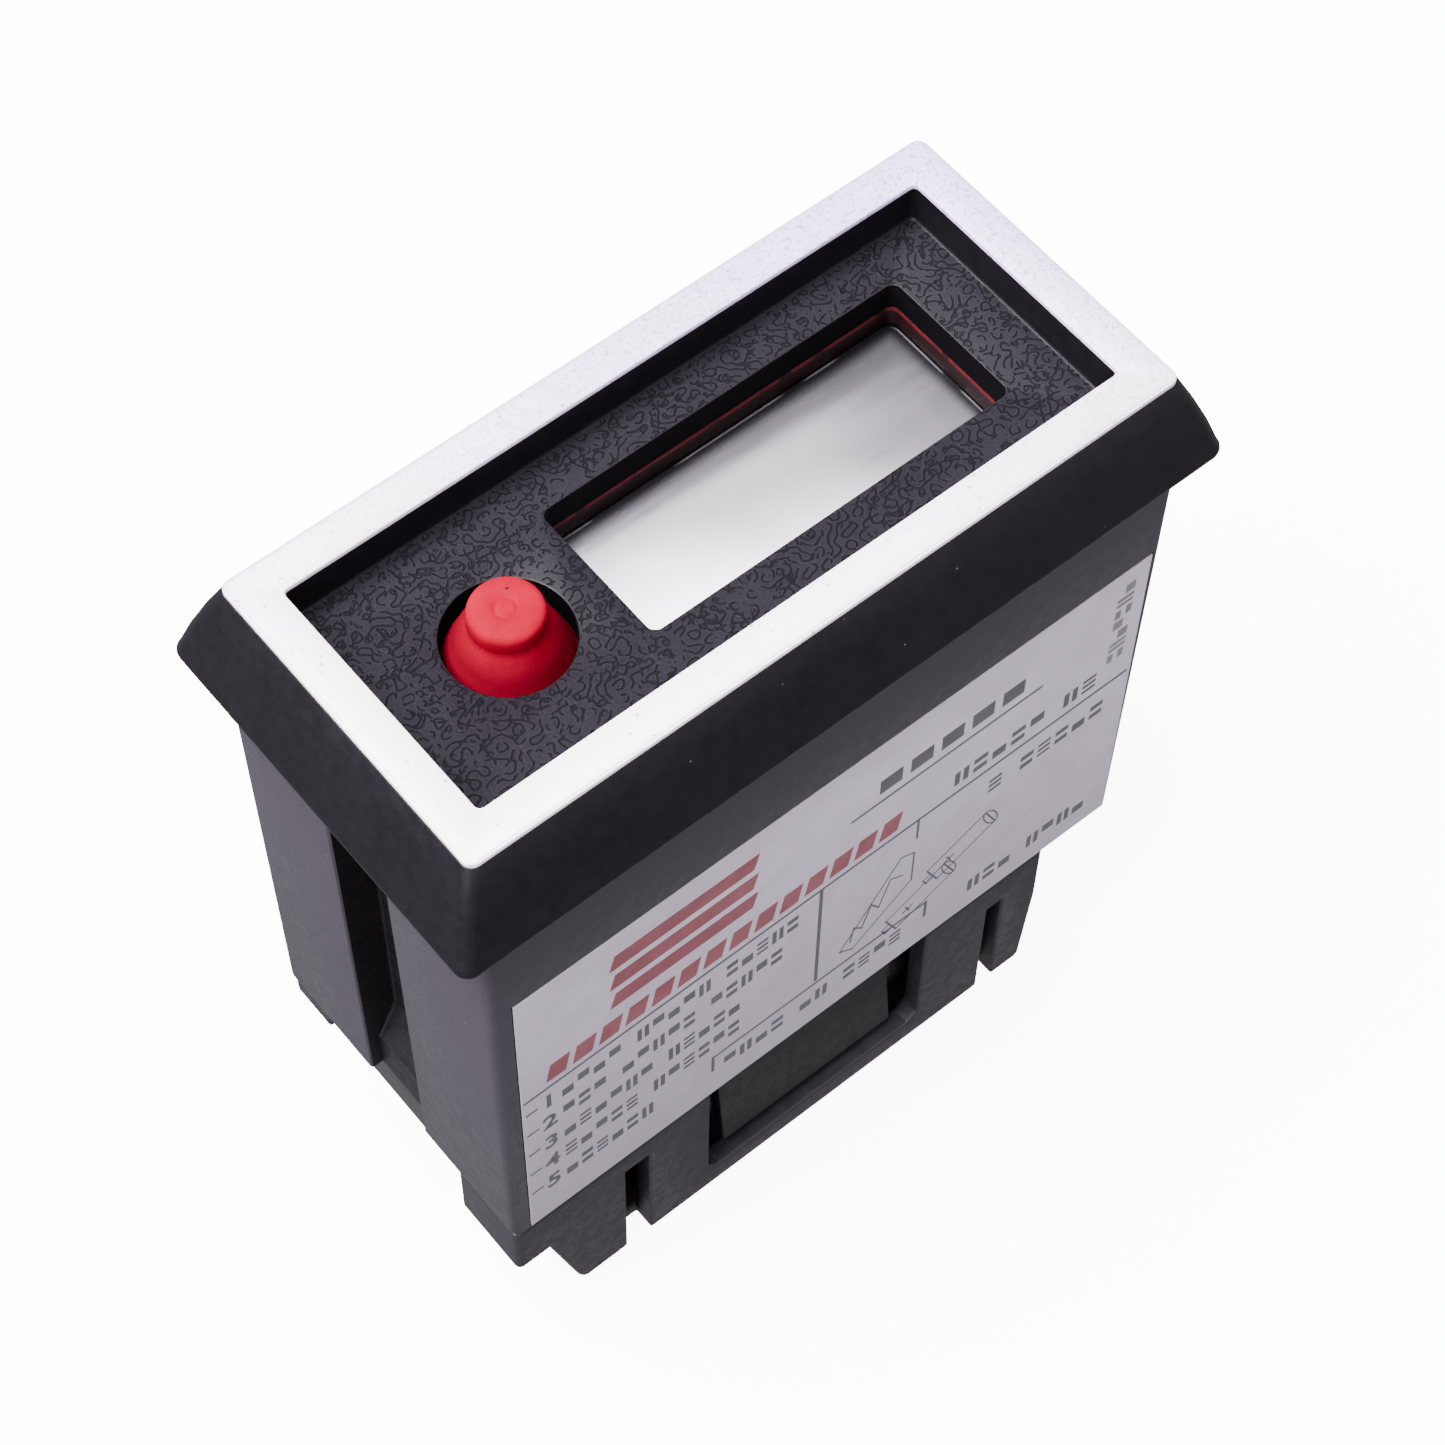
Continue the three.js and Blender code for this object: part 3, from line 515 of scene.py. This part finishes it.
def softened(o, width, segs=2, angle=32, weigh=None):
    """Rounds the edges of o by width millimetres; weigh(midpoint in mm, direction, face normals) can scale it per edge."""
    bm = bmesh.new()
    bm.from_mesh(o.data)
    bmesh.ops.remove_doubles(bm, verts=bm.verts, dist=3e-7)
    bmesh.ops.dissolve_limit(bm, angle_limit=math.radians(0.6), verts=bm.verts, edges=bm.edges)
    bm.normal_update()
    layer = bm.edges.layers.float.get("bevel_weight_edge") or bm.edges.layers.float.new("bevel_weight_edge")
    for f in bm.faces:
        f.smooth = True
    for e in bm.edges:
        e.smooth = True
        w = 0.0
        if len(e.link_faces) == 2 and e.calc_face_angle(0) > math.radians(angle):
            w = 1.0
            if weigh is not None:
                mid = (e.verts[0].co + e.verts[1].co) / 2 / MM
                d = (e.verts[1].co - e.verts[0].co).normalized()
                w = weigh(mid, d, [f.normal for f in e.link_faces])
            if w < 0.01 or width <= 0:
                w = 0.0
                e.smooth = False
        e[layer] = w
    bm.to_mesh(o.data)
    bm.free()
    if width > 0:
        m = o.modifiers.new("round", "BEVEL")
        m.width = width * MM
        m.segments = segs
        m.limit_method = "WEIGHT"
        m.harden_normals = True
        m.use_clamp_overlap = False
        m.miter_outer = "MITER_SHARP"
        baked(o)
    return o


def finish_piece(o, body, node_names):
    if body:
        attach(o, body)
    if node_names:
        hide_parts(*node_names)
    return o


def dressed(node, mat, width, body="root", segs=2, angle=32, weigh=None):
    """A copy of the CAD node's shape with rounded edges and its own finish, riding on the same body."""
    o = bpy.data.objects.new(node + "_finish", nodes[node].data.copy())
    scene.collection.objects.link(o)
    o.data.materials.clear()
    o.data.materials.append(mat)
    for p in o.data.polygons:
        p.material_index = 0
    softened(o, width, segs, angle, weigh)
    return finish_piece(o, body, [node])


# ---------------------------------------------------------------- bezel, trim and case
def make_bezel():
    outer = [(30.02, 13.47, 0.85, 72.6), (30.12, 13.57, 0.9, 72.52), (31.15, 14.55, 1.0, 70.3), (32.1, 15.42, 1.08, 67.9),
             (32.80, 16.06, 1.14, 65.75), (32.93, 16.18, 1.15, 65.45), (32.95, 16.2, 1.15, 65.25), (32.90, 16.15, 1.13, 64.95),
             (32.72, 15.97, 1.05, 64.62), (32.45, 15.7, 0.95, 64.5)]
    # the flare is lofted straight through the listed rings
    body = loft("bezel_body", [ring(hx, hy, r, z, 10) for hx, hy, r, z in outer[::-1]], (BEZEL, GRAIN, WELL_SHADE))
    fillet = [(27.0, 10.45, 0.5, 73.4)] + [
        (27.0 - 0.28 * (1 - math.cos(a)), 10.45 - 0.28 * (1 - math.cos(a)), max(0.24, 0.5 - 0.28 * (1 - math.cos(a))), 69.43 + 0.28 * (1 - math.sin(a)))
        for a in (0.0, 0.39, 0.79, 1.18, 1.5708)]
    cut(body, loft("c1", [ring(hx, hy, r, z, 8) for hx, hy, r, z in fillet[::-1]]))
    cx, cy = (-8.92 + 22.17) / 2, (-5.27 + 6.80) / 2
    hx, hy = (22.17 + 8.92) / 2, (6.80 + 5.27) / 2
    cut(body, loft("c2", [ring(hx, hy, 0.7, 66.0, 6, cx, cy), ring(hx, hy, 0.7, 69.31, 6, cx, cy),
                          ring(hx + 0.04, hy + 0.04, 0.74, 69.40, 6, cx, cy), ring(hx + 0.13, hy + 0.13, 0.83, 69.44, 6, cx, cy),
                          ring(hx + 0.13, hy + 0.13, 0.83, 70.0, 6, cx, cy)]))
    cut(body, lathe("c3", [(0, 66.0), (4.6, 66.0), (4.6, 69.28), (4.64, 69.39), (4.74, 69.44), (4.74, 70.0), (0, 70.0)], -16.5, 0.45, seg=72))
    cut(body, loft("c4", [ring(27.2, 11.4, 0.6, 63.0, 4), ring(27.2, 11.4, 0.6, 67.0, 4)]))
    skirt = loft("s1", [ring(28.45, 12.55, 0.8, 58.6, 5), ring(28.45, 12.55, 0.8, 64.9, 5)])
    cut(skirt, loft("s2", [ring(27.25, 11.35, 0.5, 58.0, 5), ring(27.25, 11.35, 0.5, 66.0, 5)]))
    for sx in (-1, 1):
        cut(skirt, loft("s3", [ring(2.2, 3.45, 0.1, 57.0, 2, sx * 28.9, 0.25), ring(2.2, 3.45, 0.1, 64.45, 2, sx * 28.9, 0.25)]))
    cut(body, skirt, "UNION")
    for bx, by in ((-25.3, 9.5), (-25.3, -9.5), (25.3, -9.55)):
        cut(body, lathe("boss", [(0, 60.7), (1.75, 60.7), (1.75, 67.3), (0, 67.3)], bx, by, seg=32), "UNION")
    me = body.data
    for p in me.polygons:
        c = p.center / MM
        p.material_index = 1 if p.normal.z > 0.98 and 69.2 < c.z < 69.6 else 0
        in_window = cx - hx - 0.2 < c.x < cx + hx + 0.2 and cy - hy - 0.2 < c.y < cy + hy + 0.2
        in_hole = math.hypot(c.x + 16.5, c.y - 0.45) < 4.72
        # these walls take the painted shade material
        if abs(p.normal.z) < 0.5 and 64.0 < c.z < 69.42 and (in_window or in_hole):
            p.material_index = 2
    softened(body, 0.0, angle=40)
    return finish_piece(body, "root", ["bezel"])


def make_trim():
    out = [(30.0, 13.45, 0.8, 72.60), (30.0, 13.45, 0.8, 72.90), (29.97, 13.42, 0.77, 72.965), (29.90, 13.35, 0.72, 73.0)]
    body = loft("trim_ring", [ring(*o[:3], o[3], 8) for o in out], (TRIM,))
    inn = [(27.0, 10.45, 0.45, 72.0), (27.0, 10.45, 0.45, 72.90), (27.03, 10.48, 0.48, 72.965), (27.10, 10.55, 0.54, 73.0), (27.10, 10.55, 0.54, 73.5)]
    cut(body, loft("c5", [ring(*o[:3], o[3], 6) for o in inn]))
    softened(body, 0.0, angle=50)
    return finish_piece(body, "root", ["trim_frame"])


make_bezel()
make_trim()


def shell_edges(mid, d, normals):
    # the shallow pocket under the label and the grooves' feathered ends stay crisp
    if abs(mid.y + 14.32) < 0.22 and -29 < mid.x < 29.8 and mid.z < 54.2 and not (mid.z < 17.6 and abs(d.x) > 0.9):
        return 0.0
    if abs(mid.x) > 28.4 and -3.6 < mid.y < 4.1 and mid.z < 21.8:
        return 0.0
    return 1.0


shell = dressed("case_shell", CASE, 0.22, weigh=shell_edges)
# the end grooves' faces take the painted shade material, flat shaded
shell.data.materials.append(GROOVE_SHADE)
for face in shell.data.polygons:
    at = face.center / MM
    if 26.0 < abs(at.x) < 29.75 and -3.25 < at.y < 3.75 and 17.3 < at.z < 64.0:
        face.material_index = 1
        face.use_smooth = False


def cover_edges(mid, d, normals):
    outer = abs(mid.y) > 13.6 or mid.x < -23.8 or mid.x > 22.5
    if mid.z < 0.5 and (abs(d.y) > 0.95 or outer):
        return 2.6
    if abs(d.z) > 0.95 and abs(mid.y) > 13.6 and (mid.x < -23.8 or mid.x > 22.5):
        return 2.6
    if mid.x < -23.8 and 14.6 < mid.z < 15.7:
        return 2.0
    return 1.0


dressed("rear_cover", COVER, 0.25, "cover", segs=3, weigh=cover_edges)
dressed("rubber_seal", SEAL, 0.10)

# ---------------------------------------------------------------- display
dressed("display_film", SILVER, 0.03)
dressed("display_front_glass", GLASS, 0.05)
dressed("display_rear_glass", GLASS, 0.05)
dressed("display_reflector", REFLECTOR, 0.03)
dressed("display_holder", PALE, 0.15)
dressed("contact_strip_front", ELAST, 0.12)
dressed("contact_strip_back", ELAST, 0.12)

# ---------------------------------------------------------------- boards and parts
dressed("display_board", BOARD, 0.06, angle=50)
dressed("main_board", BOARD, 0.06, angle=50)
for k in (1, 2, 3):
    dressed(f"board_screw_{k}", STEEL, 0.06, angle=40)
dressed("counter_chip", CHIP, 0.08)
dressed("quartz_crystal", TIN, 0.08)
pill = dressed("contact_pill", CARBON, 0.05, "reset_button", angle=50)
# at full press the pill's face lands on the board's; this hair keeps the two drawn faces from coinciding
for v in pill.data.vertices:
    if v.co.z < 61.83 * MM:
        v.co.z += 0.01 * MM
dressed("board_link_header", CHIP, 0.06)
dressed("electrolytic_capacitor", SLEEVE, 0.12, angle=50)
dressed("ceramic_capacitor", CERAMIC, 0.15, angle=50)
dressed("resistor_1", CERAMIC, 0.08, angle=50)
dressed("resistor_2", CERAMIC, 0.08, angle=50)

# ---------------------------------------------------------------- terminals
dressed("terminal_block", TERM, 0.08)
for k in range(1, 6):
    dressed(f"terminal_screw_{k}", STEEL, 0.05, f"screw_{k}", angle=40)
    dressed(f"terminal_clamp_{k}", BRASS, 0.08, f"clamp_{k}")
    dressed(f"terminal_pin_{k}", TIN, 0.05)

# ---------------------------------------------------------------- batteries
dressed("battery_holder", INNER, 0.18)
for k in (1, 2):
    o = dressed(f"cell_{k}", JACKET, 0.16, angle=50)
    o.data.materials.append(TIN)
    for p in o.data.polygons:
        if abs(p.normal.x) > 0.8 or (Vector((0, p.center.y / MM - (-6.2, 6.2)[k - 1], p.center.z / MM - 8.3)).length < 4.5):
            p.material_index = 1
    dressed(f"cell_spring_{k}", TIN, 0.0, angle=60)
dressed("battery_contact_negative", TIN, 0.06)
dressed("battery_contact_positive", TIN, 0.06)
dressed("cell_bridge", TIN, 0.06)


# ---------------------------------------------------------------- reset button
def make_button():
    cap = [(0, 72.91), (0.40, 72.91), (0.55, 72.90), (0.64, 72.87), (0.72, 72.83), (0.80, 72.83), (0.89, 72.87), (1.02, 72.92), (1.25, 72.955), (1.6, 72.975),
           (1.9, 72.965), (2.16, 72.93), (2.36, 72.86), (2.51, 72.75), (2.60, 72.61), (2.65, 72.44), (2.664, 72.2), (2.668, 71.8),
           (2.668, 71.0), (2.5, 70.7), (1.7, 70.50), (1.55, 70.42), (1.5, 70.2), (1.5, 62.4), (1.42, 62.28), (1.30, 62.22), (0, 62.2)]
    c = lathe("reset_button_top", cap, -16.5, 0.45, (RED,), 96)
    softened(c, 0.0, angle=75)
    finish_piece(c, "reset_button", ["reset_button_cap"])
    cone = [(2.55, 71.36), (2.672, 71.46), (2.682, 71.30), (2.705, 71.14), (2.755, 70.98), (2.83, 70.82), (2.92, 70.66), (3.03, 70.48), (3.15, 70.26),
            (3.44, 69.90), (3.66, 69.30), (3.90, 68.70), (4.12, 68.18), (4.30, 67.82), (4.40, 67.5), (4.45, 67.2), (4.55, 66.98), (4.8, 66.9), (4.8, 65.3),
            (4.7, 65.2), (3.98, 65.2), (3.9, 65.3), (3.9, 66.9), (3.92, 67.3), (3.82, 67.7), (3.66, 68.1), (3.44, 68.65), (3.20, 69.25), (2.98, 69.8),
            (2.84, 70.3), (2.72, 70.6), (2.62, 70.8), (2.56, 71.0)]
    s = lathe("reset_button_cone", cone, -16.5, 0.45, (RED,), 96)
    softened(s, 0.0, angle=75)
    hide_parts("button_skirt")
    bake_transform(s)


make_button()

# ---------------------------------------------------------------- rating label and its print
dressed("rating_label", LABEL, 0.03)
FACE = -14.55


class Ink:
    """Thin closed shapes that stand just proud of the label's face."""

    def __init__(self, name, thick):
        self.name, self.v, self.f, self.thick, self.count = name, [], [], thick, 0

    def poly(self, pts):
        # neighbouring strokes differ a hair in height, so none share a face
        n, k = len(pts), len(self.v)
        self.count += 1
        top, low = FACE - self.thick - 0.0011 * (self.count % 9), FACE - 0.001 + 0.0017 * (self.count % 7)
        self.v += [(x, top, z) for x, z in pts] + [(x, low, z) for x, z in pts]
        self.f.append([k + i for i in range(n)])
        self.f.append([k + n + i for i in range(n)][::-1])
        for i in range(n):
            j = (i + 1) % n
            self.f.append([k + j, k + i, k + n + i, k + n + j])

    def line(self, a, b, w, square=True):
        a, b = Vector(a), Vector(b)
        d = (b - a).normalized()
        n = Vector((-d.y, d.x)) * w / 2
        e = d * w / 2 if square else d * 0
        self.poly([tuple(a - e - n), tuple(b + e - n), tuple(b + e + n), tuple(a - e + n)])

    def path(self, pts, w, closed=False):
        for a, b in zip(pts, pts[1:] + (pts[:1] if closed else [])):
            if (Vector(a) - Vector(b)).length > 1e-6:
                self.line(a, b, w)

    def object(self, mat):
        o = outward(thing(self.name, self.v, self.f, (mat,)))
        return finish_piece(o, "root", [])


# solid blocks, as (x0, x1, y0, y1) in each mark's own cell, that give the rows of small print their weight from afar.
# No two touch, so none forms a letter.
MARKS = [
    [(0.0, 0.72, 0.0, 0.34), (0.0, 0.72, 0.66, 1.0)],
    [(0.0, 0.28, 0.0, 1.0), (0.46, 0.74, 0.0, 1.0)],
    [(0.0, 0.72, 0.0, 0.19), (0.0, 0.72, 0.4, 0.6), (0.0, 0.72, 0.81, 1.0)],
    [(0.0, 0.72, 0.0, 0.58)],
    [(0.0, 0.72, 0.42, 1.0)],
]


def small_print(ink, x, z, words, h, pitch, rng, upright=False):
    """Rows of marks from (x, z) along X, or up Z when upright. words holds the number of marks in each word."""
    u = 0.0
    last = -1
    for n in words:
        for _ in range(n):
            k = rng.randrange(len(MARKS))
            while k == last:
                k = rng.randrange(len(MARKS))
            last = k
            for x0, x1, y0, y1 in MARKS[k]:
                pts = [(u + a * pitch, b * h) for a, b in ((x0, y0), (x1, y0), (x1, y1), (x0, y1))]
                if upright:
                    pts = [(-b, a) for a, b in pts]
                ink.poly([(x + a, z + b) for a, b in pts])
            u += pitch
        u += pitch * 0.8


def numeral(text, x, z, h, thick, mat, name, shear=0.0):
    cu = bpy.data.curves.new(name, "FONT")
    cu.body = text
    cu.size = h * 1.38 * MM
    cu.shear = shear
    cu.extrude = thick / 2 * MM
    cu.offset = 0.035 * h * MM
    cu.resolution_u = 4
    o = bpy.data.objects.new(name, cu)
    scene.collection.objects.link(o)
    me = bpy.data.meshes.new_from_object(o.evaluated_get(bpy.context.evaluated_depsgraph_get()))
    bpy.data.objects.remove(o)
    me.transform(Matrix(((1, 0, 0, x * MM), (0, 0, -1, (FACE - thick / 2) * MM), (0, 1, 0, z * MM), (0, 0, 0, 1))))
    me.materials.clear()
    me.materials.append(mat)
    n = bpy.data.objects.new(name, me)
    scene.collection.objects.link(n)
    return finish_piece(n, "root", [])


def make_print():
    rng = random.Random(11)
    black, red, grey = Ink("label_rules_and_print", 0.014), Ink("label_red_mark", 0.014), Ink("label_side_print", 0.014)
    black.line((-28.25, 38.4), (28.95, 38.4), 0.3, False)
    black.line((1.4, 45.5), (19.7, 45.5), 0.28, False)
    black.line((-1.0, 24.0), (-1.0, 38.3), 0.34, False)
    black.line((8.3, 38.3), (8.3, 35.6), 0.2, False)
    black.path([(-11.0, 21.4), (-11.0, 23.6), (10.1, 23.6), (10.1, 21.4)], 0.28)
    rows = [(35.35, [4, 5, 5]), (32.0, [3, 5, 5]), (28.65, [6, 5]), (25.3, [5, 6]), (21.95, [6])]
    for k, (z, words) in enumerate(rows):
        black.line((-28.15, z + 0.95), (-27.1, z + 0.95), 0.24, False)
        numeral(str(k + 1), -26.75, z, 1.95, 0.014, INK, f"label_number_{k + 1}")
        small_print(black, -24.9, z, words, 1.75, 1.42, rng)
    for k in range(5):
        black.poly([(4.0 + 2.9 * k, 46.7), (6.1 + 2.9 * k, 46.7), (6.1 + 2.9 * k, 48.5), (4.0 + 2.9 * k, 48.5)])
    small_print(black, 11.6, 39.6, [5, 2], 1.8, 1.85, rng)
    small_print(black, 15.4, 34.6, [1, 5], 1.75, 1.75, rng)
    small_print(black, 14.6, 20.1, [3, 4], 1.7, 1.62, rng)
    small_print(black, -9.9, 20.6, [4, 2, 4], 1.65, 1.55, rng)
    small_print(grey, 28.0, 41.6, [7], 1.6, 1.5, rng, upright=True)
    # two cells going into their holder, in outline
    for cx, cz in ((13.3, 28.9), (9.4, 25.4)):
        d, n = Vector((0.90, 0.43)), Vector((-0.43, 0.90))
        c = Vector((cx, cz))
        body = [c + d * (-3.2) + n * 1.35, c + d * 3.1 + n * 1.35, c + d * 3.1 - n * 1.35, c - d * 3.2 - n * 1.35]
        black.path([tuple(p) for p in body], 0.16, True)
        oval = [c + d * (3.1 + 0.55 * math.cos(a)) + n * 1.35 * math.sin(a) for a in [math.pi * 2 * i / 18 for i in range(18)]]
        black.path([tuple(p) for p in oval], 0.13, True)
        nub = [c - d * 3.2 + n * 0.45, c - d * 4.0 + n * 0.45, c - d * 4.0 - n * 0.45, c - d * 3.2 - n * 0.45]
        black.path([tuple(p) for p in nub], 0.14)
        black.line(tuple(c - d * 1.9), tuple(c - d * 0.9), 0.16)
        black.line(tuple(c - d * 1.4 - n * 0.5), tuple(c - d * 1.4 + n * 0.5), 0.16)
    black.path([(1.3, 25.8), (6.9, 34.2), (8.2, 33.6), (8.2, 29.4), (2.6, 24.9), (1.3, 25.8)], 0.15)
    black.path([(2.3, 26.3), (2.6, 28.2), (3.4, 27.3), (4.2, 30.0), (5.0, 28.7), (6.0, 31.9), (7.2, 31.2)], 0.15)
    # three equal stripes over one row of equal dashes
    for k in range(3):
        z0 = 43.4 + 2.75 * k
        red.poly([(-20.4, z0), (-7.6, z0), (-7.1, z0 + 1.9), (-19.9, z0 + 1.9)])
    for k in range(14):
        x0 = -26.2 + 2.35 * k
        red.poly([(x0, 39.3), (x0 + 1.75, 39.3), (x0 + 2.2, 41.6), (x0 + 0.45, 41.6)])
    black.object(INK)
    red.object(INKRED)
    grey.object(INKGREY)


make_print()

# ---------------------------------------------------------------- floor, light and camera
LOW, HIGH = 0.5, 1.45
floor = bpy.data.meshes.new("floor")
S = 3.0
floor.from_pydata([(-S, -S, -0.00002), (S, -S, -0.00002), (S, S, -0.00002), (-S, S, -0.00002)], [], [(0, 1, 2, 3)])
floor_object = bpy.data.objects.new("floor", floor)
scene.collection.objects.link(floor_object)
fm = Mat("floor_paper")
paper = fm.noise(0.05, 3, 0.5)
fm.set(Base_Color=fm.mix(paper, (0.90, 0.90, 0.90), (0.93, 0.93, 0.93)), Roughness=0.9, Specular_IOR_Level=0.05)
fm.set(Emission_Color=(1, 1, 1, 1), Emission_Strength=9.0)
floor.materials.append(fm.m)
# the paper shows white and takes the shadow, without flooding the sides from below
floor_object.visible_diffuse = False
floor_object.visible_glossy = False
floor_object.visible_transmission = False

world = bpy.data.worlds.new("studio")
scene.world = world
world.use_nodes = True
wn = world.node_tree
bg = wn.nodes["Background"]
sky = wn.nodes.new("ShaderNodeTexCoord")
up = wn.nodes.new("ShaderNodeSeparateXYZ")
wn.links.new(sky.outputs["Generated"], up.inputs[0])
fade = wn.nodes.new("ShaderNodeMapRange")
fade.interpolation_type = "SMOOTHSTEP"
fade.inputs["From Min"].default_value = -0.35
fade.inputs["From Max"].default_value = 0.25
fade.inputs["To Min"].default_value = LOW
fade.inputs["To Max"].default_value = HIGH
wn.links.new(up.outputs["Z"], fade.inputs["Value"])
wn.links.new(fade.outputs[0], bg.inputs[1])
bg.inputs[0].default_value = (0.98, 0.95, 1.0, 1)


def area(name, at, target, size, watts, colour=(1, 1, 1)):
    d = bpy.data.lights.new(name, "AREA")
    d.shape = "RECTANGLE"
    d.size, d.size_y = size
    d.energy = watts
    d.color = colour
    o = bpy.data.objects.new(name, d)
    scene.collection.objects.link(o)
    o.location = at
    o.rotation_mode = "QUATERNION"
    o.rotation_quaternion = (Vector(target) - Vector(at)).to_track_quat("-Z", "Y")
    return o


area("key", (-0.30, 0.10, 0.75), (0, 0, 0.05), (0.5, 0.5), 34)
area("fill", (-0.75, -0.25, 0.35), (0, 0, 0.04), (0.5, 0.5), 3)
area("rear_soft", (0.02, 0.30, 0.70), (0.02, 0.30, 0.0), (0.5, 0.5), 6)


def camera():
    rv = np.array((2.4700323798248807, -0.8770431105090567, 0.25821290559129506))
    t = np.array((-0.887577416390933, -16.013547543506455, 237.62900888589076))
    th = np.linalg.norm(rv)
    k = rv / th
    K = np.array(((0, -k[2], k[1]), (k[2], 0, -k[0]), (-k[1], k[0], 0)))
    R = np.eye(3) + math.sin(th) * K + (1 - math.cos(th)) * K @ K
    c = -R.T @ t
    c[2] += 73.0
    d = bpy.data.cameras.new("camera")
    d.sensor_width = 36
    d.lens = 36 * 3608.4141 / 1445
    d.clip_start, d.clip_end = 0.01, 20
    o = bpy.data.objects.new("camera", d)
    scene.collection.objects.link(o)
    m = Matrix.Identity(4)
    for i in range(3):
        m[i][0], m[i][1], m[i][2] = R[0][i], -R[1][i], -R[2][i]
        m[i][3] = c[i] * MM
    o.matrix_world = m
    scene.camera = o


camera()
